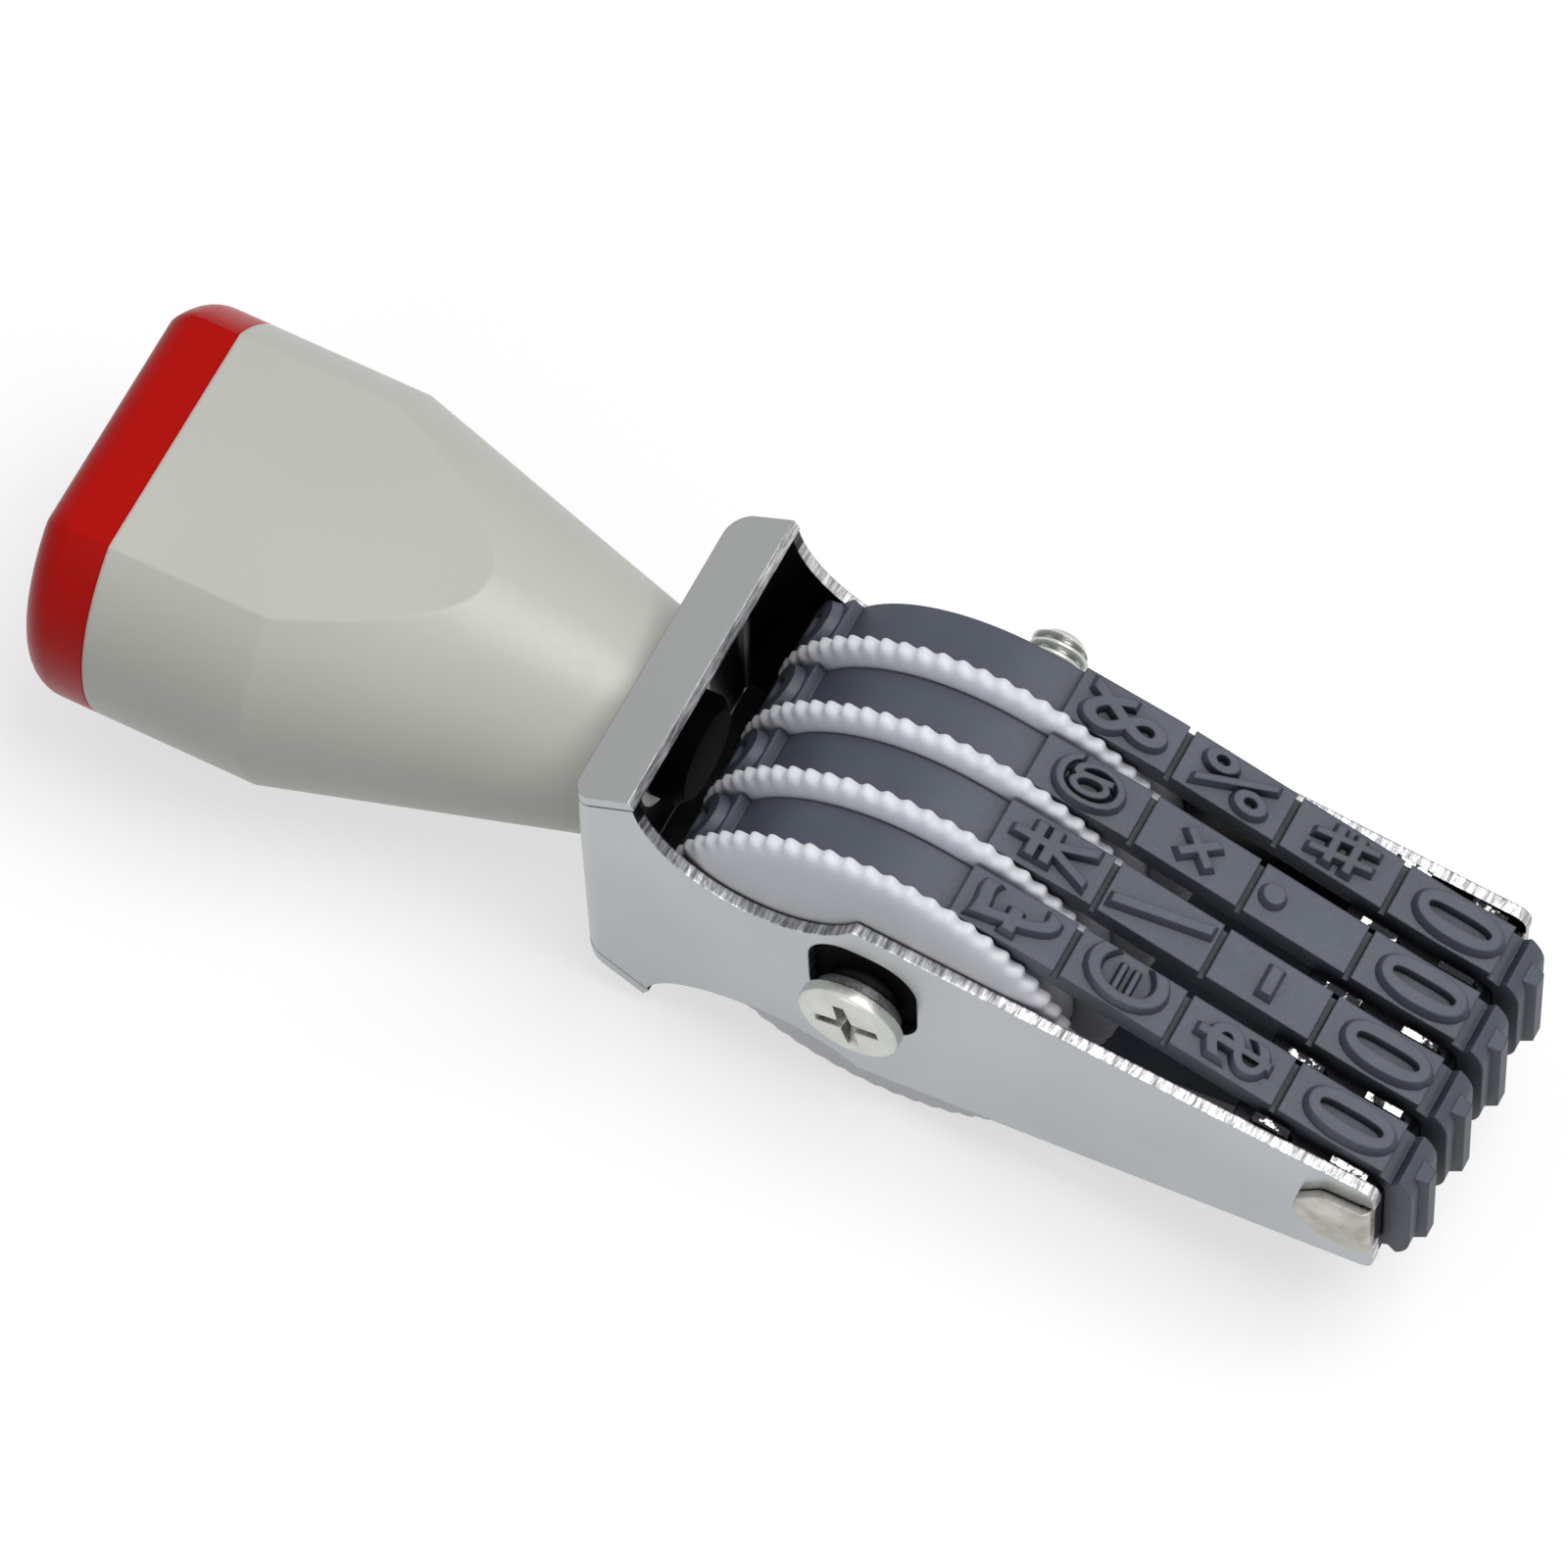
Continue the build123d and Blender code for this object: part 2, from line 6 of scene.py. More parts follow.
import bmesh
import bpy
from mathutils import Euler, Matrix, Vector


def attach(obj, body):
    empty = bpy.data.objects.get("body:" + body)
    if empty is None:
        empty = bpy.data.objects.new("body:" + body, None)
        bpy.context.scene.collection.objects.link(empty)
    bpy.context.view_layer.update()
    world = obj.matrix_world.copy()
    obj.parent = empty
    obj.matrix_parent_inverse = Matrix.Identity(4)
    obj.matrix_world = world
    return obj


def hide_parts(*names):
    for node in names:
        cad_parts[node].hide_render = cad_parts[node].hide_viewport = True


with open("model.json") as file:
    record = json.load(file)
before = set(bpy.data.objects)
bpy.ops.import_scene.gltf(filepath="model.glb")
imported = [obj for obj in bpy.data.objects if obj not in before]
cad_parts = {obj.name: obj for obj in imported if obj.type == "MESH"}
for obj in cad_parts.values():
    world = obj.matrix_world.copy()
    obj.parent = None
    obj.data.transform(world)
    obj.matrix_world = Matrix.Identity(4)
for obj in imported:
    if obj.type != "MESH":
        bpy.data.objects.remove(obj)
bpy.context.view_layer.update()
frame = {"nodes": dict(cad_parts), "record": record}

MM = 0.001
# Place in the part's frame of the middle of the frame's rear plate, in millimetres. All the sizes
# below are in millimetres about it, which the comments call the fit frame.
SHIFT = Vector((-9.025, -1.85, 14.5))

# Sizes shared with the solids
AXLE_X = 19.7
SLIDING = 0.1
WHEEL_RADIUS = 14.5
TEETH = 64
RIM_WIDTH = 1.3
FIRST_RIM_Y = -9.93736
WHEEL_PITCH = 4.99368
DRUM_REACH = 4.8937
DRUM_RADIUS = 11.7
DRUM_INNER_RADIUS = 10.3
HUB_RADIUS = 4.6
BAND_COUNT = 4
BAND_INNER = 11.8
BAND_BASE = 1.0
BAND_WIDTH = 3.54368
BEND_X = (31.2, 50.6)
BLOCK_HEIGHT = 0.8
PITCHES = 15
PRINT_HALF = 2.8
NOSE_CORNER = 1.0
NOSE_CORNER_X = 53.45
NOSE_SPACING = 4.95
WASHER_BACK_Y = -10.8805
HEAD_TOP_Y = -12.78
THREAD_RADIUS = 2.0
THREAD_END_Y = 17.0
GRIP_RADIUS = 13.3
FLAT_HALF_HEIGHT = 10.3
GRIP_LENGTH = 33.3
CAP_THICKNESS = 4.9
ARC_X = 12.5
ARC_Z = -13.4
ARC_RADIUS = 8.1
TAIL = (4.517, -12.03)
CUSP = (19.31, -9.014)

# Sizes of the pieces made here that differ from the solids, or that the solids don't have
BORE_RADIUS = 2.56
TOOTH_DEPTH = 0.46
TOOTH_STEPS = 8
FLANK_ROUND = 2.8
FLANK_SET_BACK = 0.8
HEAD_HEIGHT = 1.1
HEAD_RADIUS = 3.42
HEAD_EDGE = 0.42
HEAD_BACK_Y = HEAD_TOP_Y + HEAD_HEIGHT
SHANK_RADIUS = 1.98
THREAD_PITCH = 0.7
THREAD_DEPTH = 0.34
SPACER_RADIUS = 2.9
# Place and radii of a thin dark disc that paints shade into the near cheek's hole
SHADE_DISC_Y = (-10.05, -9.965)
SHADE_DISC_RADII = (2.6, 5.4)
CAP_ROUND = 2.3
BELLY_DROP = 0.6
ARC_SHARE = 0.59
RELIEF = 0.7
FOOT_DEPTH = 0.15
DRAFT = 0.24
WEIGHT = 0.07

# Places where the plating's look changes: the roof's front edge, and the inner face of the ears,
# inside which the nickel is painted near black as shade
ROOF_END_X = 4.9
EAR_INNER_Y = 10.3


# ---------------------------------------------------------------- camera, light, floor


# In the part's frame: the place in millimetres, the turn in degrees, the lit point in metres
CAMERA_LENS = 264.8885
CAMERA_PLACE = (164.4785, -283.3646, 646.7451)
CAMERA_TURN = (27.2759, 1.45786, 27.49857)
LIT_POINT = (0, 0, 0.015)


def add_camera():
    """The camera at the viewing angle."""
    data = bpy.data.cameras.new("photo_camera")
    data.lens = CAMERA_LENS
    data.sensor_width = 36.0
    data.clip_start = 0.02
    data.clip_end = 20.0
    camera = bpy.data.objects.new("photo_camera", data)
    bpy.context.scene.collection.objects.link(camera)
    camera.location = Vector(CAMERA_PLACE) * MM
    camera.rotation_euler = Euler([radians(turn) for turn in CAMERA_TURN], "XYZ")
    bpy.context.scene.camera = camera


def add_area(name, location, size, power):
    """A soft rectangular light that faces the part."""
    data = bpy.data.lights.new(name, "AREA")
    data.shape = "RECTANGLE"
    data.size, data.size_y = size
    data.energy = power
    light = bpy.data.objects.new(name, data)
    light.location = location
    aim = Vector(LIT_POINT) - Vector(location)
    light.rotation_euler = aim.to_track_quat("-Z", "Y").to_euler()
    bpy.context.scene.collection.objects.link(light)


def seen_directly(nodes, links):
    """1 for camera, glossy and transmission rays."""
    path = nodes.new("ShaderNodeLightPath")
    first = nodes.new("ShaderNodeMath")
    first.operation = "MAXIMUM"
    links.new(path.outputs["Is Camera Ray"], first.inputs[0])
    links.new(path.outputs["Is Glossy Ray"], first.inputs[1])
    second = nodes.new("ShaderNodeMath")
    second.operation = "MAXIMUM"
    links.new(first.outputs[0], second.inputs[0])
    links.new(path.outputs["Is Transmission Ray"], second.inputs[1])
    return second.outputs[0]


def add_world():
    """Dim daylight on the part, plain white where it is seen or reflected."""
    world = bpy.data.worlds.new("studio")
    bpy.context.scene.world = world
    world.use_nodes = True
    nodes, links = world.node_tree.nodes, world.node_tree.links
    nodes.clear()
    out = nodes.new("ShaderNodeOutputWorld")
    soft = nodes.new("ShaderNodeBackground")
    soft.inputs["Color"].default_value = (0.96, 0.98, 1.0, 1.0)
    soft.inputs["Strength"].default_value = 0.4
    white = nodes.new("ShaderNodeBackground")
    white.inputs["Color"].default_value = (1.0, 1.0, 1.0, 1.0)
    white.inputs["Strength"].default_value = 1.0
    mix = nodes.new("ShaderNodeMixShader")
    links.new(seen_directly(nodes, links), mix.inputs["Fac"])
    links.new(soft.outputs[0], mix.inputs[1])
    links.new(white.outputs[0], mix.inputs[2])
    links.new(mix.outputs[0], out.inputs["Surface"])


def add_floor():
    """A pale floor that looks white and throws little light back."""
    bm = bmesh.new()
    bmesh.ops.create_grid(bm, x_segments=1, y_segments=1, size=3.0)
    mesh = bpy.data.meshes.new("floor")
    bm.to_mesh(mesh)
    bm.free()
    floor = bpy.data.objects.new("floor", mesh)
    floor.location = (0, 0, -0.0001)
    bpy.context.scene.collection.objects.link(floor)
    mat = bpy.data.materials.new("pale_floor")
    mat.use_nodes = True
    nodes, links = mat.node_tree.nodes, mat.node_tree.links
    nodes.clear()
    out = nodes.new("ShaderNodeOutputMaterial")
    plain = nodes.new("ShaderNodeBsdfDiffuse")
    plain.inputs["Color"].default_value = (0.32, 0.32, 0.32, 1.0)
    half = nodes.new("ShaderNodeBsdfDiffuse")
    half.inputs["Color"].default_value = (0.42, 0.42, 0.42, 1.0)
    glow = nodes.new("ShaderNodeEmission")
    glow.inputs["Color"].default_value = (1.0, 1.0, 1.0, 1.0)
    glow.inputs["Strength"].default_value = 0.62
    both = nodes.new("ShaderNodeAddShader")
    links.new(half.outputs[0], both.inputs[0])
    links.new(glow.outputs[0], both.inputs[1])
    mix = nodes.new("ShaderNodeMixShader")
    links.new(seen_directly(nodes, links), mix.inputs["Fac"])
    links.new(plain.outputs[0], mix.inputs[1])
    links.new(both.outputs[0], mix.inputs[2])
    links.new(mix.outputs[0], out.inputs["Surface"])
    mesh.materials.append(mat)


def add_light():
    add_world()
    add_floor()
    add_area("key", (0.32, 0.1, 0.9), (0.6, 0.6), 6.0)
    add_area("fill", (-0.1, -0.9, 0.55), (0.6, 0.5), 0.6)


# ---------------------------------------------------------------- materials


class Surface:
    """A procedural material about one Principled shader, in object coordinates."""

    def __init__(self, name, roughness, metallic=0.0, ior=1.5):
        self.material = bpy.data.materials.new(name)
        self.material.use_nodes = True
        self.nodes = self.material.node_tree.nodes
        self.links = self.material.node_tree.links
        self.nodes.clear()
        self.out = self.nodes.new("ShaderNodeOutputMaterial")
        self.shader = self.nodes.new("ShaderNodeBsdfPrincipled")
        self.shader.inputs["Roughness"].default_value = roughness
        self.shader.inputs["Metallic"].default_value = metallic
        self.shader.inputs["IOR"].default_value = ior
        self.links.new(self.shader.outputs[0], self.out.inputs["Surface"])
        self.coords = self.nodes.new("ShaderNodeTexCoord")

    def link(self, source, target):
        self.links.new(source, target)

    def axes(self, name):
        """The three parts of a texture coordinate."""
        node = self.nodes.new("ShaderNodeSeparateXYZ")
        self.link(self.coords.outputs[name], node.inputs[0])
        return node.outputs

    def waxy(self, weight, radius, reach):
        """Light that goes in and comes out again, within a reach in millimetres."""
        self.shader.inputs["Subsurface Weight"].default_value = weight
        self.shader.inputs["Subsurface Radius"].default_value = radius
        self.shader.inputs["Subsurface Scale"].default_value = reach * MM

    def stretched(self, scale):
        mapping = self.nodes.new("ShaderNodeMapping")
        mapping.inputs["Scale"].default_value = scale
        self.link(self.coords.outputs["Object"], mapping.inputs["Vector"])
        return mapping.outputs[0]

    def noise(self, scale, detail=4.0, rough=0.5, stretch=(1, 1, 1)):
        """Noise with a size given in features per millimetre."""
        node = self.nodes.new("ShaderNodeTexNoise")
        node.inputs["Scale"].default_value = scale * 1000
        node.inputs["Detail"].default_value = detail
        node.inputs["Roughness"].default_value = rough
        self.link(self.stretched(stretch), node.inputs["Vector"])
        return node.outputs["Fac"]

    def ramp(self, source, stops):
        node = self.nodes.new("ShaderNodeValToRGB")
        ramp = node.color_ramp
        while len(ramp.elements) < len(stops):
            ramp.elements.new(0.5)
        for element, (position, color) in zip(ramp.elements, stops):
            element.position = position
            element.color = (*color, 1.0) if len(color) == 3 else color
        self.link(source, node.inputs["Fac"])
        return node.outputs["Color"]

    def span(self, source, low, high, from_low=0.3, from_high=0.7):
        """Spreads the values between from_low and from_high over low to high."""
        node = self.nodes.new("ShaderNodeMapRange")
        node.inputs["From Min"].default_value = from_low
        node.inputs["From Max"].default_value = from_high
        node.inputs["To Min"].default_value = low
        node.inputs["To Max"].default_value = high
        self.link(source, node.inputs["Value"])
        return node.outputs["Result"]

    def math(self, operation, first, second=None):
        node = self.nodes.new("ShaderNodeMath")
        node.operation = operation
        for index, value in enumerate((first, second)):
            if value is None:
                continue
            if isinstance(value, (int, float)):
                node.inputs[index].default_value = value
            else:
                self.link(value, node.inputs[index])
        return node.outputs[0]

    def mix(self, factor, first, second):
        node = self.nodes.new("ShaderNodeMix")
        node.data_type = "RGBA"
        for name, value in (("Factor", factor), ("A", first), ("B", second)):
            sockets = [s for s in node.inputs if s.name == name and s.enabled]
            if isinstance(value, (int, float)):
                sockets[0].default_value = value
            elif isinstance(value, tuple):
                sockets[0].default_value = (*value, 1.0)
            else:
                self.link(value, sockets[0])
        return [s for s in node.outputs if s.name == "Result" and s.enabled][0]

    def bump(self, height, distance, strength=1.0, normal=None):
        node = self.nodes.new("ShaderNodeBump")
        node.inputs["Distance"].default_value = distance * MM
        node.inputs["Strength"].default_value = strength
        self.link(height, node.inputs["Height"])
        if normal is not None:
            self.link(normal, node.inputs["Normal"])
        return node.outputs[0]

    def painted_shade(self, color, dark, reach, open_at=0.85):
        """A colour with painted shade: it turns dark in corners, grooves and recesses, by ambient
        occlusion.
        """
        node = self.nodes.new("ShaderNodeAmbientOcclusion")
        node.samples = 8
        node.inputs["Distance"].default_value = reach * MM
        return self.mix(self.span(node.outputs["AO"], 0.0, 1.0, 0.25, open_at), dark, color)

    def soft_edges(self, radius):
        node = self.nodes.new("ShaderNodeBevel")
        node.samples = 6
        node.inputs["Radius"].default_value = radius * MM
        return node.outputs[0]

    def set(self, name, source):
        if isinstance(source, (int, float)):
            self.shader.inputs[name].default_value = source
        else:
            self.link(source, self.shader.inputs[name])


def srgb(r, g, b):
    """Linear colour of an 8-bit display colour."""
    values = []
    for v in (r, g, b):
        v = v / 255
        values.append(v / 12.92 if v <= 0.04045 else ((v + 0.055) / 1.055) ** 2.4)
    return tuple(values)


def plated_sheet():
    """Bright plating: smooth faces, rough sheared edges; sloped faces painted a little darker and
    faces inside the frame painted near black, both as shade.
    """
    s = Surface("plated_sheet", 0.26, metallic=1.0)
    clouds = s.noise(0.09, 3.0)
    rolled = s.noise(0.5, 3.0, 0.6, (0.12, 1.0, 1.0))
    flat = s.ramp(clouds, [(0.3, srgb(166, 169, 172)), (0.7, srgb(176, 179, 182))])
    nx, ny, nz = s.axes("Normal")
    x, y, _ = s.axes("Object")
    thin = s.math("LESS_THAN", s.math("ABSOLUTE", ny), 0.3)
    ahead = s.math("GREATER_THAN", x, (ROOF_END_X + SHIFT.x) * MM)
    sloped = s.math("GREATER_THAN", s.math("ABSOLUTE", nz), 0.4)
    # Sloped faces get a darker plating colour: painted shade
    face = s.mix(sloped, flat, srgb(158, 160, 160))
    lip = s.math("MULTIPLY", sloped, s.math("GREATER_THAN", nx, 0.7))
    edge = s.math("MULTIPLY", thin, s.math("MAXIMUM", ahead, lip))
    # Faces turned to the inside of the frame, and the rear plate's inner face, are painted near
    # black: painted shade
    inward = s.math("MULTIPLY", ny, s.math("SUBTRACT", y, SHIFT.y * MM))
    inner = s.math("LESS_THAN", inward, -0.002)
    back = s.math("MULTIPLY", s.math("GREATER_THAN", nx, 0.95), s.math("SUBTRACT", 1.0, ahead))
    painted_shade_inside = s.math("MAXIMUM", inner, back)
    grain = s.noise(2.2, 4.0, 0.7, (1.0, 0.15, 1.0))
    crisp = s.ramp(
        grain,
        [(0.34, srgb(96, 97, 98)), (0.5, srgb(172, 173, 174)), (0.64, srgb(232, 232, 233))],
    )
    base = s.mix(painted_shade_inside, face, srgb(34, 35, 37))
    s.set("Base Color", s.mix(edge, base, crisp))
    s.set("Roughness", s.math("ADD", s.span(clouds, 0.2, 0.26), s.math("MULTIPLY", edge, 0.12)))
    rounded = s.soft_edges(0.16)
    first = s.bump(rolled, 0.002, 0.3, rounded)
    s.set("Normal", s.bump(s.math("MULTIPLY", grain, edge), 0.12, 0.8, first))
    return s.material


def zinc(name, tint, roughness):
    """Plated screws and washers, with faint clouds and painted shade in the recesses."""
    s = Surface(name, roughness, metallic=1.0)
    clouds = s.noise(0.5, 4.0)
    fine = s.noise(6.0, 4.0, 0.6)
    low = tuple(c * 0.86 for c in tint)
    base = s.ramp(clouds, [(0.32, low), (0.66, tint)])
    s.set("Base Color", s.painted_shade(base, tuple(c * 0.06 for c in tint), 1.0))
    s.set("Roughness", s.span(fine, roughness - 0.06, roughness + 0.1))
    s.set("Normal", s.bump(fine, 0.004, 0.4, s.soft_edges(0.12)))
    return s.material


def nickel_sheet():
    """Matte nickel on the ears with painted shade in their recesses; the channel between the bands
    is painted near black as shade.
    """
    s = Surface("nickel_sheet", 0.34, metallic=1.0)
    clouds = s.noise(0.5, 4.0)
    fine = s.noise(3.0, 5.0, 0.7)
    ears = s.ramp(clouds, [(0.32, srgb(160, 157, 148)), (0.66, srgb(196, 193, 184))])
    _, y, _ = s.axes("Object")
    across = s.math("ABSOLUTE", s.math("SUBTRACT", y, SHIFT.y * MM))
    outside = s.math("GREATER_THAN", across, EAR_INNER_Y * MM)
    # Near black inside the ears and darker in the ears' recesses: painted shade
    s.set("Base Color", s.mix(outside, srgb(26, 27, 29), s.painted_shade(ears, srgb(60, 58, 52), 0.7)))
    s.set("Roughness", s.span(fine, 0.26, 0.46))
    s.set("Normal", s.bump(fine, 0.03, 0.5, s.soft_edges(0.25)))
    return s.material


def plated_separator():
    """Thin plated fins, painted near black as shade between the bands; their upper faces are
    bright only in ragged patches.
    """
    s = Surface("plated_separator", 0.3, metallic=1.0)
    rag = s.noise(0.55, 5.0, 0.7)
    # Near black on the fins between the bands: painted shade
    patches = s.ramp(rag, [(0.5, srgb(24, 25, 27)), (0.56, srgb(205, 205, 204))])
    _, _, nz = s.axes("Normal")
    up = s.math("GREATER_THAN", nz, 0.6)
    s.set("Base Color", s.mix(up, srgb(24, 25, 27), patches))
    s.set("Roughness", s.span(rag, 0.24, 0.42))
    s.set("Normal", s.bump(rag, 0.05, 0.6, s.soft_edges(0.1)))
    return s.material


def turned_steel():
    """The sleeve, with rings from the lathe and painted shade in its recesses."""
    s = Surface("sleeve_steel", 0.3, metallic=1.0)
    rings = s.noise(3.0, 3.0, 0.6, (0.02, 1.0, 0.02))
    base = s.ramp(rings, [(0.3, srgb(120, 128, 122)), (0.7, srgb(180, 186, 180))])
    s.set("Base Color", s.painted_shade(base, srgb(20, 22, 21), 2.0, 0.95))
    s.set("Roughness", s.span(rings, 0.24, 0.42))
    s.set("Normal", s.bump(rings, 0.01, 0.6, s.soft_edges(0.1)))
    return s.material


def grip_plastic():
    """Pale grey moulded plastic."""
    s = Surface("grip_plastic", 0.36, ior=1.47)
    clouds = s.noise(0.035, 2.0)
    fine = s.noise(2.5, 5.0, 0.65)
    s.set("Base Color", s.ramp(clouds, [(0.3, srgb(188, 188, 178)), (0.7, srgb(197, 198, 189))]))
    s.set("Roughness", s.span(fine, 0.3, 0.42))
    s.waxy(0.12, (1.0, 0.9, 0.7), 1.0)
    s.set("Normal", s.bump(fine, 0.008, 0.3, s.soft_edges(0.35)))
    return s.material


def cap_plastic():
    """Red moulded plastic with weak reflections."""
    s = Surface("cap_plastic", 0.3, ior=1.4)
    s.shader.inputs["Specular IOR Level"].default_value = 0.16
    clouds = s.noise(0.06, 3.0)
    fine = s.noise(2.2, 5.0, 0.65)
    s.set("Base Color", s.ramp(clouds, [(0.3, srgb(172, 4, 0)), (0.7, srgb(184, 10, 0))]))
    s.set("Roughness", s.span(fine, 0.26, 0.38))
    s.set("Normal", s.bump(fine, 0.008, 0.3))
    return s.material


def wheel_plastic():
    """Pale, slightly translucent plastic, with painted shade in its corners and grooves."""
    s = Surface("wheel_plastic", 0.42, ior=1.47)
    clouds = s.noise(0.12, 3.0)
    fine = s.noise(3.5, 5.0, 0.6)
    base = s.ramp(clouds, [(0.3, srgb(222, 223, 231)), (0.7, srgb(230, 231, 238))])
    s.set("Base Color", s.painted_shade(base, srgb(150, 152, 160), 1.2, 0.7))
    s.set("Roughness", s.span(fine, 0.36, 0.5))
    s.waxy(0.65, (1.0, 1.0, 1.1), 1.2)
    s.set("Normal", s.bump(fine, 0.008, 0.3, s.soft_edges(0.6)))
    return s.material


def band_rubber():
    """Dark rubber with a little pale dust, and painted shade in its grooves and corners."""
    s = Surface("band_rubber", 0.55, ior=1.5)
    clouds = s.noise(0.16, 4.0)
    fine = s.noise(5.0, 6.0, 0.7)
    dust = s.noise(2.6, 2.0, 0.8)
    plain = s.ramp(clouds, [(0.3, srgb(63, 69, 81)), (0.7, srgb(73, 79, 91))])
    base = s.painted_shade(plain, srgb(22, 24, 29), 1.6, 0.8)
    specks = s.span(dust, 0.0, 1.0, 0.76, 0.8)
    s.set("Base Color", s.mix(s.math("MULTIPLY", specks, 0.35), base, srgb(150, 154, 162)))
    s.set("Roughness", s.span(fine, 0.46, 0.62))
    s.set("Normal", s.bump(fine, 0.014, 0.5, s.soft_edges(0.2)))
    return s.material


def dress_nodes():
    """One procedural material for each slot of the record, on every CAD node."""
    made = {
        "plated_sheet": plated_sheet(),
        "grip_plastic": grip_plastic(),
        "cap_plastic": cap_plastic(),
        "zinc_screw": zinc("zinc_screw", srgb(206, 208, 202), 0.28),
        "black_steel": zinc("black_steel", srgb(16, 16, 17), 0.8),
        "zinc_washer": zinc("zinc_washer", srgb(196, 198, 198), 0.32),
        "sleeve_steel": turned_steel(),
        "nickel_sheet": nickel_sheet(),
        "plated_separator": plated_separator(),
        "wheel_plastic": wheel_plastic(),
        "band_rubber": band_rubber(),
    }
    for part in frame["record"]["subparts"]:
        node = frame["nodes"][part["node"]]
        wanted = made[part["material_slot"]]
        if node.data.materials:
            for index in range(len(node.data.materials)):
                node.data.materials[index] = wanted
        else:
            node.data.materials.append(wanted)
    return made


# ---------------------------------------------------------------- pieces


def finish_piece(bm, name, material, body, smooth_angle=35.0):
    """Makes a bmesh in the fit frame, in millimetres, a piece that rides on a body."""
    bmesh.ops.recalc_face_normals(bm, faces=bm.faces)
    for vertex in bm.verts:
        vertex.co = (vertex.co + SHIFT) * MM
    mesh = bpy.data.meshes.new(name)
    for edge in bm.edges:
        if len(edge.link_faces) == 2:
            edge.smooth = edge.calc_face_angle(pi) < radians(smooth_angle)
    for face in bm.faces:
        face.smooth = True
    bm.to_mesh(mesh)
    bm.free()
    mesh.materials.append(material)
    piece = bpy.data.objects.new(name, mesh)
    bpy.context.scene.collection.objects.link(piece)
    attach(piece, body)
    return piece


def lathe(bm, profile, segments, axis_point):
    """Turns (y, radius) points about a line along Y through axis_point."""
    rings = []
    for y, radius in profile:
        if radius < 1e-6:
            rings.append([bm.verts.new((axis_point[0], y, axis_point[1]))])
            continue
        ring = []
        for k in range(segments):
            angle = 2 * pi * k / segments
            x = axis_point[0] + radius * cos(angle)
            z = axis_point[1] + radius * sin(angle)
            ring.append(bm.verts.new((x, y, z)))
        rings.append(ring)
    for first, second in zip(rings, rings[1:]):
        join_rings(bm, first, second)


def join_rings(bm, first, second):
    """Faces between two closed rings, either of which may be a single point."""
    count = max(len(first), len(second))
    for k in range(count):
        a = first[k % len(first)]
        b = first[(k + 1) % len(first)]
        c = second[(k + 1) % len(second)]
        d = second[k % len(second)]
        corners = []
        for vertex in (a, b, c, d):
            if vertex not in corners:
                corners.append(vertex)
        if len(corners) > 2:
            bm.faces.new(corners)


# ---------------------------------------------------------------- type relief


STRAND_RUN = NOSE_CORNER_X - AXLE_X
STRAND_REACH = hypot(STRAND_RUN, PRINT_HALF)
STRAND_TURN = pi / 2 - (
    asin((BAND_INNER - NOSE_CORNER) / STRAND_REACH) - atan2(PRINT_HALF, STRAND_RUN)
)
STRAND_LENGTH = sqrt(STRAND_REACH**2 - (BAND_INNER - NOSE_CORNER) ** 2)
HALF_LOOP = (
    PRINT_HALF + NOSE_CORNER * STRAND_TURN + STRAND_LENGTH + BAND_INNER * (pi - STRAND_TURN)
)
PITCH = 2 * HALF_LOOP / PITCHES


def station(distance):
    """Point on the band's inner face and its outward angle, so far up from the nose's middle."""
    side = 1 if distance >= 0 else -1
    left = abs(distance)
    if left <= PRINT_HALF:
        return NOSE_CORNER_X + NOSE_CORNER, side * left, 0.0
    left -= PRINT_HALF
    if left <= NOSE_CORNER * STRAND_TURN:
        angle = left / NOSE_CORNER
        x = NOSE_CORNER_X + NOSE_CORNER * cos(angle)
        return x, side * (PRINT_HALF + NOSE_CORNER * sin(angle)), side * angle
    left -= NOSE_CORNER * STRAND_TURN
    if left <= STRAND_LENGTH:
        x = NOSE_CORNER_X + NOSE_CORNER * cos(STRAND_TURN) - left * sin(STRAND_TURN)
        z = PRINT_HALF + NOSE_CORNER * sin(STRAND_TURN) + left * cos(STRAND_TURN)
        return x, side * z, side * STRAND_TURN
    angle = STRAND_TURN + (left - STRAND_LENGTH) / BAND_INNER
    return AXLE_X + BAND_INNER * cos(angle), side * BAND_INNER * sin(angle), side * angle


def band_middle(index, x):
    """Y of a band's middle line at x: straight at the wheels, then in to its place at the nose."""
    wheel_y = FIRST_RIM_Y + index * WHEEL_PITCH + RIM_WIDTH + SLIDING + BAND_WIDTH / 2
    nose_y = (index - (BAND_COUNT - 1) / 2) * NOSE_SPACING
    share = min(max((x - BEND_X[0]) / (BEND_X[1] - BEND_X[0]), 0.0), 1.0)
    return wheel_y + (nose_y - wheel_y) * share


def on_band(index, distance, across, height):
    """A point over band number index, in the fit frame."""
    x, z, angle = station(distance)
    x += height * cos(angle)
    z += height * sin(angle)
    return Vector((x, band_middle(index, x) + across, z))


# Width across the band, length along it and shift along it of each character. The nought's outline
# is zero_mesh's own, and a width of None keeps the letter's own proportions.
SIGNS = {
    "0": (None, None, 0.5),
    "4": (3.1, 6.0, 0.0),
    **{figure: (None, 6.0, 0.0) for figure in "12356789"},
    "-": (1.9, 0.6, 0.0),
    "/": (2.2, 6.2, 0.0),
    ".": (1.3, 1.3, -2.4),
    "×": (2.2, 2.3, 0.0),
    "@": (3.0, 4.4, 0.0),
    "#": (2.5, 4.0, 0.0),
    "%": (2.8, 4.8, 0.0),
    "&": (3.0, 5.4, 0.0),
    "$": (2.3, 4.8, 0.0),
    "€": (2.8, 5.2, 0.0),
    "£": (2.6, 5.2, 0.0),
    "¥": (2.8, 5.2, 0.0),
}
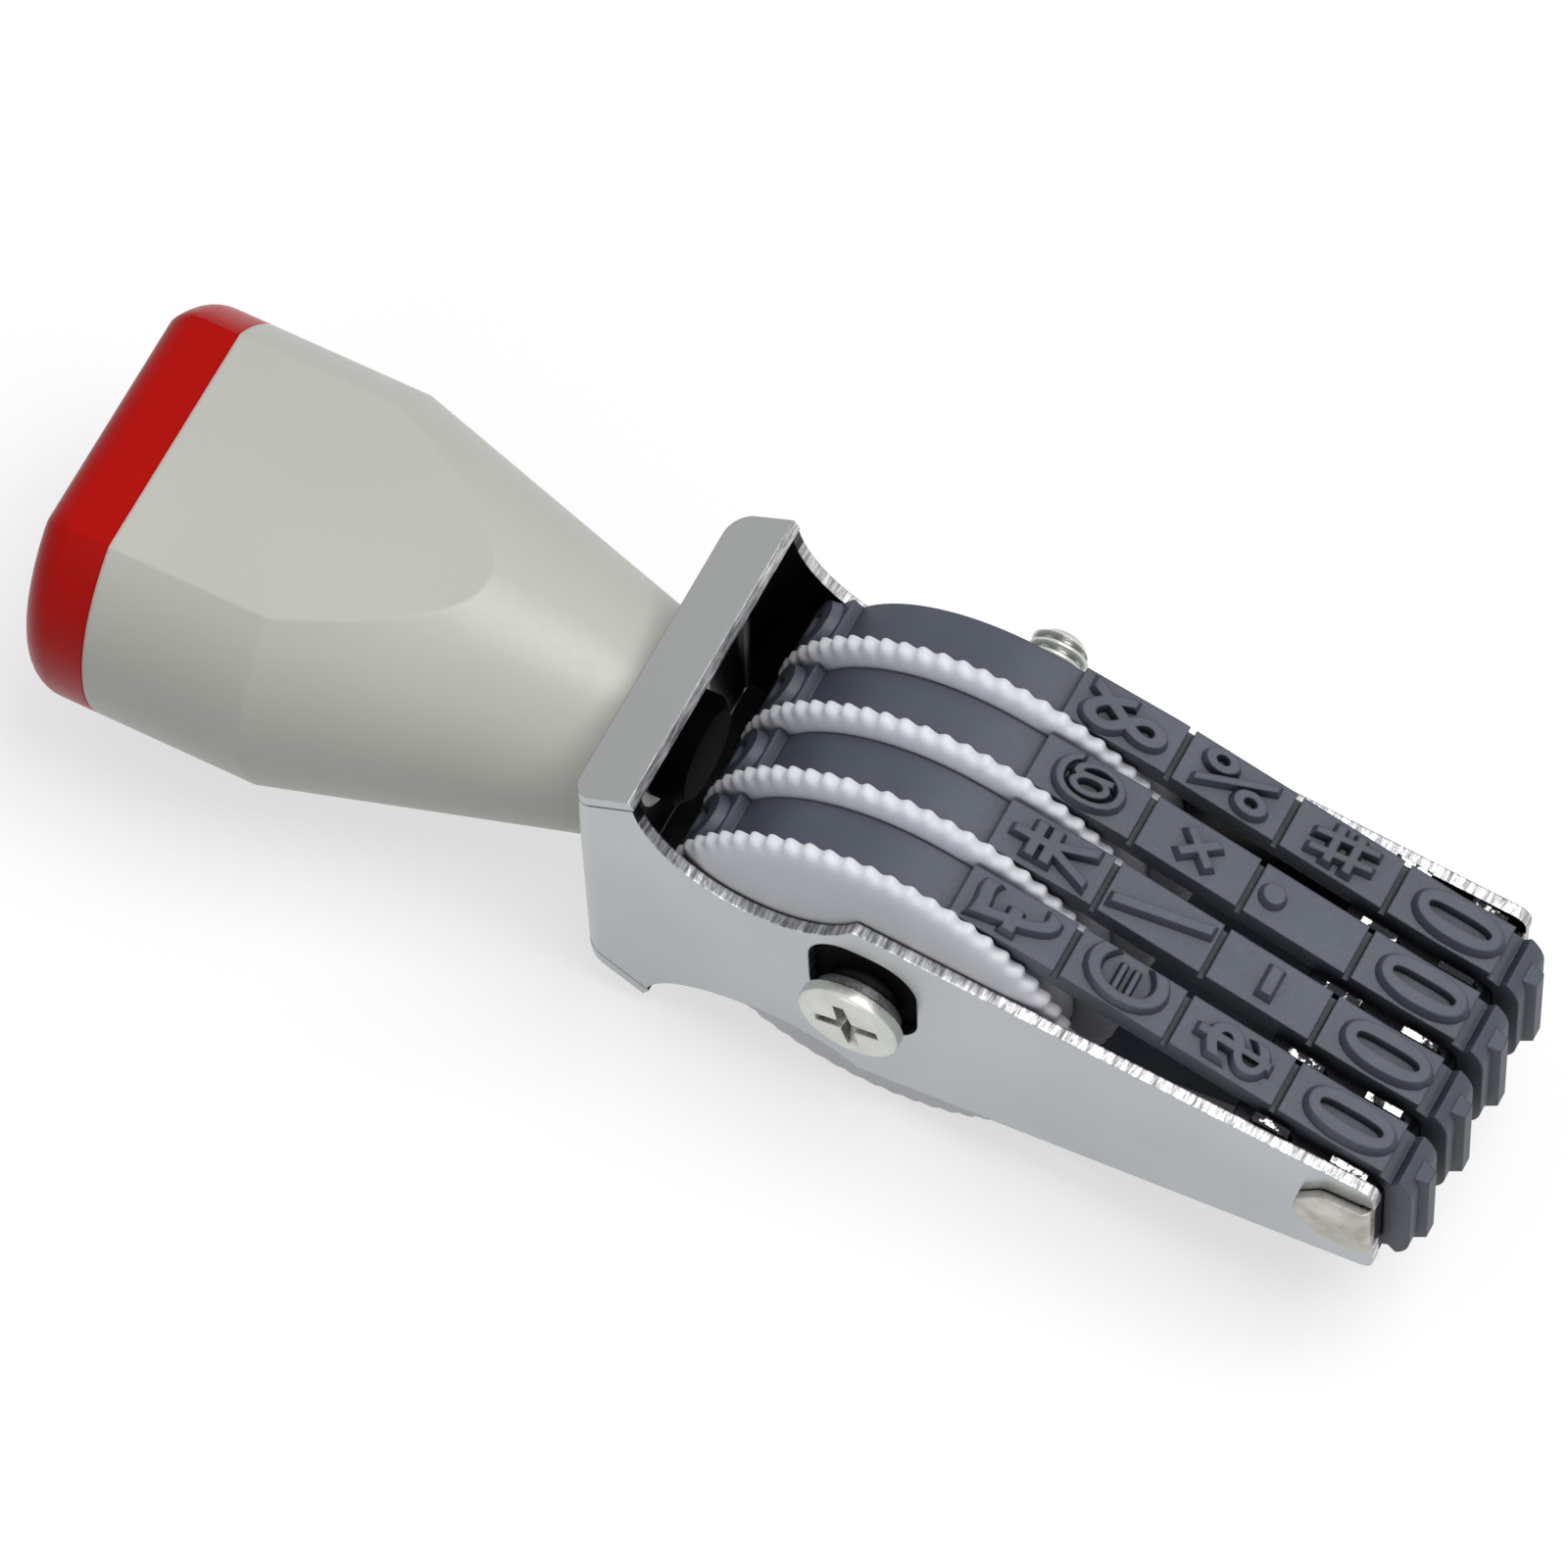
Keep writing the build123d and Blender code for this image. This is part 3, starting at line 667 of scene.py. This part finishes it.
# Signs of each band from the block above the nose back to the wheel. The figures 1 to 9 run from
# the printing face down and back along the lower side.
ABOVE = (
    ("0", "$", "€", "£"),
    ("0", "-", "/", "¥"),
    ("0", ".", "×", "@"),
    ("0", "#", "%", "&"),
)
FIGURES = 9
# From this block on a band lies round its wheel, and its figures are cut in strips to bend with it
FIRST_ROUND_BLOCK = -4


def glyph_mesh(text, width, length, draft):
    """Raised character: top outline as drawn, flanks that run out by the draft, unit height."""
    curve = bpy.data.curves.new("glyph", "FONT")
    curve.body = text
    curve.size = 10.0
    curve.resolution_u = 5
    curve.extrude = 0.0
    curve.bevel_depth = 0.0
    holder = bpy.data.objects.new("glyph", curve)
    bpy.context.scene.collection.objects.link(holder)
    bpy.context.view_layer.update()
    low = Vector(holder.bound_box[0])
    high = Vector(holder.bound_box[6])
    size = high - low
    scale = length / size.y
    curve.size = 10.0 * scale
    curve.offset = WEIGHT
    curve.bevel_depth = draft
    curve.bevel_resolution = 0
    bpy.context.view_layer.update()
    mesh = bpy.data.meshes.new_from_object(
        holder.evaluated_get(bpy.context.evaluated_depsgraph_get())
    )
    bpy.data.objects.remove(holder)
    bpy.data.curves.remove(curve)
    bm = bmesh.new()
    bm.from_mesh(mesh)
    bpy.data.meshes.remove(mesh)
    low_x = min(v.co.x for v in bm.verts)
    high_x = max(v.co.x for v in bm.verts)
    low_y = min(v.co.y for v in bm.verts)
    high_y = max(v.co.y for v in bm.verts)
    stretch = (width + 2 * draft) / (high_x - low_x) if width else 1.0
    for v in bm.verts:
        v.co.x = (v.co.x - (low_x + high_x) / 2) * stretch
        v.co.y = v.co.y - (low_y + high_y) / 2
        v.co.z = v.co.z / draft
    return bm


def oval(half_width, half_length, power, count):
    """Points of a flattened oval."""
    points = []
    for k in range(count):
        angle = 2 * pi * k / count
        c, d = cos(angle), sin(angle)
        x = half_width * abs(c) ** (2 / power) * (1 if c >= 0 else -1)
        points.append((x, half_length * abs(d) ** (2 / power) * (1 if d >= 0 else -1)))
    return points


def zero_mesh(draft):
    """A bold nought: an oval ring with a narrow slot."""
    bm = bmesh.new()
    count = 56
    wide = draft * 1.2
    outlines = (
        (oval(0.45 - draft * 0.6, 2.15 - draft * 0.6, 2.8, count), 0.0),
        (oval(0.47, 2.17, 2.8, count), 1.0),
        (oval(1.32, 2.86, 2.35, count), 1.0),
        (oval(1.32 + wide, 2.86 + wide, 2.35, count), 0.0),
        (oval(1.32 + wide, 2.86 + wide, 2.35, count), -1.0),
    )
    rings = [[bm.verts.new((x, y, z)) for x, y in points] for points, z in outlines]
    for first, second in zip(rings, rings[1:]):
        join_rings(bm, first, second)
    return bm


def add_bar(bm, middle_y, width, height, draft):
    """A cross stroke a little lower than the character it crosses."""
    outlines = ((0.0, -1.0), (0.0, 0.0), (-draft, 0.96))
    rings = []
    for grow, z in outlines:
        half_x = width / 2 + draft + grow
        half_y = height / 2 + draft + grow
        corners = ((-half_x, -half_y), (half_x, -half_y), (half_x, half_y), (-half_x, half_y))
        rings.append([bm.verts.new((x - 0.25, middle_y + y, z)) for x, y in corners])
    for first, second in zip(rings, rings[1:]):
        join_rings(bm, first, second)
    bm.faces.new(rings[-1])


def sign_mesh(sign):
    """One character lying flat, with its foot at zero and its face at one."""
    width, length, _ = SIGNS[sign]
    if sign == "0":
        return zero_mesh(DRAFT)
    if sign == "€":
        bm = glyph_mesh("C", width, length, DRAFT)
        for middle_y in (-0.45, 0.45):
            add_bar(bm, middle_y, 2.3, 0.3, DRAFT * 0.7)
        return bm
    return glyph_mesh(sign, width, length, DRAFT)


def add_type(index, material):
    """All raised characters of one band, as one piece."""
    signs = list(enumerate(ABOVE[index], start=1))
    signs += [(-number, str(number + 1)) for number in range(FIGURES)]
    whole = bmesh.new()
    foot = BAND_BASE + BLOCK_HEIGHT
    for block, sign in signs:
        shift = SIGNS[sign][2]
        glyph = sign_mesh(sign)
        if block <= FIRST_ROUND_BLOCK:
            for cut in range(-6, 7):
                geometry = glyph.verts[:] + glyph.edges[:] + glyph.faces[:]
                bmesh.ops.bisect_plane(
                    glyph, geom=geometry, plane_co=(0, cut * 0.5, 0), plane_no=(0, 1, 0)
                )
        for v in glyph.verts:
            height = foot + (v.co.z * RELIEF if v.co.z > -1e-6 else v.co.z * FOOT_DEPTH)
            v.co = on_band(index, block * PITCH - v.co.y - shift, v.co.x, height)
        mesh = bpy.data.meshes.new("glyph")
        glyph.to_mesh(mesh)
        glyph.free()
        whole.from_mesh(mesh)
        bpy.data.meshes.remove(mesh)
    return finish_piece(whole, f"type_{index + 1}", material, "stamp_body", 40.0)


# ---------------------------------------------------------------- screws


def cross_recess(bm, centre, face_y, deep, turn):
    """A Phillips cross as a solid cutter, its arms in the plane of the head."""
    ends = []
    outlines = ((face_y - 0.3, 2.4, 0.56), (face_y + 0.35, 2.05, 0.46), (face_y + deep, 0.7, 0.3))
    for y, length, width in outlines:
        ring = []
        for arm in range(4):
            angle = turn + arm * pi / 2
            along = Vector((cos(angle), sin(angle)))
            side = Vector((-sin(angle), cos(angle)))
            inner = along * width - side * width
            ring.append(inner)
            ring.append(along * length - side * width * 0.75)
            ring.append(along * length + side * width * 0.75)
        ends.append([bm.verts.new((centre[0] + p.x, y, centre[1] + p.y)) for p in ring])
    for first, second in zip(ends, ends[1:]):
        join_rings(bm, first, second)
    bm.faces.new(ends[0])
    bm.faces.new(ends[-1])


def thread_rings(start, end, radius, pitch, segments):
    """Rings of a helical thread: (y, radius) for each segment, stepped along the screw."""
    rings = []
    steps_per_turn = 8
    count = int((end - start) / pitch * steps_per_turn)
    for step in range(count + 1):
        y = start + step * pitch / steps_per_turn
        ring = []
        for k in range(segments):
            phase = (step / steps_per_turn + k / segments) % 1.0
            tooth = abs(phase - 0.5) * 2
            ring.append((y, radius - THREAD_DEPTH * (1 - min(tooth * 1.35, 1.0))))
        rings.append(ring)
    return rings


def cut_out(piece, cutter_mesh):
    """Cuts a solid, built in the fit frame, out of a piece."""
    bmesh.ops.recalc_face_normals(cutter_mesh, faces=cutter_mesh.faces)
    for vertex in cutter_mesh.verts:
        vertex.co = (vertex.co + SHIFT) * MM
    mesh = bpy.data.meshes.new("cutter")
    cutter_mesh.to_mesh(mesh)
    cutter_mesh.free()
    mesh.materials.append(piece.data.materials[0])
    cutter = bpy.data.objects.new("cutter", mesh)
    bpy.context.scene.collection.objects.link(cutter)
    modifier = piece.modifiers.new("recess", "BOOLEAN")
    modifier.operation = "DIFFERENCE"
    modifier.solver = "EXACT"
    modifier.object = cutter
    bpy.context.view_layer.update()
    result = bpy.data.meshes.new_from_object(
        piece.evaluated_get(bpy.context.evaluated_depsgraph_get())
    )
    piece.modifiers.clear()
    old = piece.data
    piece.data = result
    bpy.data.meshes.remove(old)
    bpy.data.objects.remove(cutter)
    bpy.data.meshes.remove(mesh)


def add_axle_screw(material):
    """The head with its cross recess, and the shank with the thread that stands out."""
    bm = bmesh.new()
    side_y = HEAD_TOP_Y + HEAD_EDGE
    flat = HEAD_RADIUS - HEAD_EDGE * 1.3
    profile = [(HEAD_BACK_Y, 0.0), (HEAD_BACK_Y, HEAD_RADIUS - 0.04)]
    profile.append((HEAD_BACK_Y - 0.05, HEAD_RADIUS))
    for k in range(7):
        turn = k / 6 * pi / 2
        reach = flat + (HEAD_RADIUS - flat) * cos(turn)
        profile.append((side_y - HEAD_EDGE * sin(turn), reach))
    profile += [(HEAD_TOP_Y, 1.2), (HEAD_TOP_Y, 0.0)]
    lathe(bm, profile, 72, (AXLE_X, 0.0))
    head = finish_piece(bm, "axle_screw_head", material, "stamp_body")
    cutter_mesh = bmesh.new()
    cross_recess(cutter_mesh, (AXLE_X, 0.0), HEAD_TOP_Y, 0.95, radians(13))
    cut_out(head, cutter_mesh)
    shank = bmesh.new()
    segments = 32
    start = HEAD_BACK_Y + 0.001
    plain = ((start, 0.0), (start, SHANK_RADIUS), (10.0, SHANK_RADIUS), (10.2, 1.8))
    rings = [[point] * segments for point in plain]
    rings += thread_rings(10.4, THREAD_END_Y - 0.5, THREAD_RADIUS, THREAD_PITCH, segments)
    tip = ((THREAD_END_Y - 0.3, 1.62), (THREAD_END_Y, 1.3), (THREAD_END_Y - 0.05, 0.0))
    rings += [[point] * segments for point in tip]
    made = []
    for ring in rings:
        if ring[0][1] < 1e-6:
            made.append([shank.verts.new((AXLE_X, ring[0][0], 0.0))])
            continue
        made.append(
            [
                shank.verts.new(
                    (AXLE_X + r * cos(2 * pi * k / segments), y, r * sin(2 * pi * k / segments))
                )
                for k, (y, r) in enumerate(ring)
            ]
        )
    for first, second in zip(made, made[1:]):
        join_rings(shank, first, second)
    thread = finish_piece(shank, "axle_screw_thread", material, "stamp_body", 60.0)
    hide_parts("axle_screw")
    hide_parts("axle_screw")


def add_spacer(material):
    """The narrow collar that keeps the screw's head off the cheek."""
    bm = bmesh.new()
    back = WASHER_BACK_Y
    front = HEAD_BACK_Y + 0.02
    inner = 2.06
    edge = 0.1
    profile = [
        (back, inner),
        (back, SPACER_RADIUS),
        (front + edge, SPACER_RADIUS),
        (front, SPACER_RADIUS - edge),
        (front, inner),
        (back, inner),
    ]
    lathe(bm, profile, 64, (AXLE_X, 0.0))
    bmesh.ops.remove_doubles(bm, verts=bm.verts, dist=0.0001)
    spacer = finish_piece(bm, "axle_spacer", material, "stamp_body")
    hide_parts("axle_washer")


def add_shade_disc(material):
    """A thin dark disc between the near cheek and the first wheel, put there to paint shade into
    what is seen through the hole.
    """
    bm = bmesh.new()
    (near, far), (inner, outer) = SHADE_DISC_Y, SHADE_DISC_RADII
    profile = [(near, inner), (far, inner), (far, outer), (near, outer), (near, inner)]
    lathe(bm, profile, 64, (AXLE_X, 0.0))
    bmesh.ops.remove_doubles(bm, verts=bm.verts, dist=0.0001)
    finish_piece(bm, "axle_shade_disc", material, "stamp_body")


# ---------------------------------------------------------------- folded frame


def lower_edge(x, z):
    """Height of a cheek's lower edge where the solid has the deeper finger arc."""
    share = (x - TAIL[0]) / (CUSP[0] - TAIL[0])
    chord = TAIL[1] + (CUSP[1] - TAIL[1]) * share
    return chord - BELLY_DROP * share + ARC_SHARE * (z - chord)


def add_frame(material):
    """The folded sheet, with shallower lower finger arcs and a fuller lower edge."""
    bm = bmesh.new()
    bm.from_mesh(frame["nodes"]["frame"].data)
    bmesh.ops.remove_doubles(bm, verts=bm.verts, dist=5e-6)
    for vertex in bm.verts:
        x, _, z = vertex.co / MM - SHIFT
        off_arc = hypot(x - ARC_X, z - ARC_Z) - ARC_RADIUS
        if z < TAIL[1] / 3 and abs(off_arc) < 0.05:
            vertex.co.z = (lower_edge(x, z) + SHIFT.z) * MM
    for face in bm.faces:
        face.smooth = False
    mesh = bpy.data.meshes.new("folded_frame")
    bm.to_mesh(mesh)
    bm.free()
    mesh.materials.append(material)
    piece = bpy.data.objects.new("folded_frame", mesh)
    bpy.context.scene.collection.objects.link(piece)
    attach(piece, "stamp_body")
    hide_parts("frame")


# ---------------------------------------------------------------- end cap


def grip_outline(inset, count):
    """Section of the grip, a circle with two flats, drawn in by an inset: (y, z) points."""
    radius = GRIP_RADIUS - inset
    limit = FLAT_HALF_HEIGHT - inset
    points = []
    for k in range(count):
        turn = 2 * pi * (k + 0.5) / count
        y = radius * cos(turn)
        z = radius * sin(turn)
        points.append((y, min(max(z, -limit), limit)))
    return points


def add_cap(material):
    """The red end cap with one smooth round from its side to its end."""
    bm = bmesh.new()
    count = 144
    seam_x = -GRIP_LENGTH - 0.02
    end_x = -GRIP_LENGTH - CAP_THICKNESS
    steps = [(seam_x, 0.12), (seam_x - 0.12, 0.0)]
    for k in range(11):
        turn = k / 10 * pi / 2
        x = end_x + CAP_ROUND * (1 - sin(turn))
        steps.append((x, CAP_ROUND * (1 - cos(turn))))
    rings = [
        [bm.verts.new((x, y, z)) for y, z in grip_outline(inset, count)] for x, inset in steps
    ]
    for first, second in zip(rings, rings[1:]):
        join_rings(bm, first, second)
    bm.faces.new(rings[0])
    bm.faces.new(rings[-1])
    cap = finish_piece(bm, "end_cap", material, "stamp_body", 30.0)
    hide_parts("handle_cap")


# ---------------------------------------------------------------- thumb wheels


def rim_ring(bm, y, shrink, depth):
    """One outline of the serrated rim: soft rounded teeth."""
    ring = []
    for k in range(TEETH * TOOTH_STEPS):
        share = (k % TOOTH_STEPS) / TOOTH_STEPS
        tooth = (1 - cos(2 * pi * share)) / 2
        radius = WHEEL_RADIUS - shrink - depth * (1 - tooth)
        angle = 2 * pi * (k / TOOTH_STEPS - 0.5) / TEETH
        ring.append(bm.verts.new((AXLE_X + radius * cos(angle), y, radius * sin(angle))))
    return ring


def plain_ring(bm, y, radius, count):
    """A circle about the axle."""
    return [
        bm.verts.new(
            (AXLE_X + radius * cos(2 * pi * k / count), y, radius * sin(2 * pi * k / count))
        )
        for k in range(count)
    ]


def add_wheel(index, material):
    """A near flank that rounds over to the teeth, a drum, a hub and a bore."""
    bm = bmesh.new()
    near = FIRST_RIM_Y + index * WHEEL_PITCH
    count = TEETH * TOOTH_STEPS
    far = near + RIM_WIDTH
    end = near + DRUM_REACH
    bore = plain_ring(bm, near, BORE_RADIUS, count)
    rings = [bore]
    for k in range(10):
        turn = k / 9 * pi / 2
        shrink = FLANK_ROUND * (1 - sin(turn))
        set_back = FLANK_SET_BACK * (1 - cos(turn))
        depth = TOOTH_DEPTH * (set_back / FLANK_SET_BACK)
        rings.append(rim_ring(bm, near + set_back, shrink, depth))
    rings.append(rim_ring(bm, far - 0.12, 0.0, TOOTH_DEPTH))
    rings.append(rim_ring(bm, far, 0.15, TOOTH_DEPTH))
    steps = (
        (far, DRUM_RADIUS),
        (end, DRUM_RADIUS),
        (end, DRUM_INNER_RADIUS),
        (far, DRUM_INNER_RADIUS),
        (far, HUB_RADIUS),
        (end, HUB_RADIUS),
        (end, BORE_RADIUS),
    )
    for y, radius in steps:
        rings.append(plain_ring(bm, y, radius, count))
    rings.append(bore)
    for first, second in zip(rings, rings[1:]):
        join_rings(bm, first, second)
    wheel = finish_piece(
        bm, f"thumb_wheel_{index + 1}", material, f"wheel_{index + 1}_body", 50.0
    )
    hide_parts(f"wheel_{index + 1}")


# ---------------------------------------------------------------- all


def main():
    """Builds the scene."""
    bpy.context.scene.view_settings.view_transform = "Standard"
    add_camera()
    add_light()
    materials = dress_nodes()
    for index in range(BAND_COUNT):
        add_type(index, materials["band_rubber"])
        add_wheel(index, materials["wheel_plastic"])
    add_axle_screw(materials["zinc_screw"])
    add_spacer(materials["zinc_washer"])
    add_shade_disc(materials["black_steel"])
    add_frame(materials["plated_sheet"])
    add_cap(materials["cap_plastic"])
    bpy.context.view_layer.update()


main()
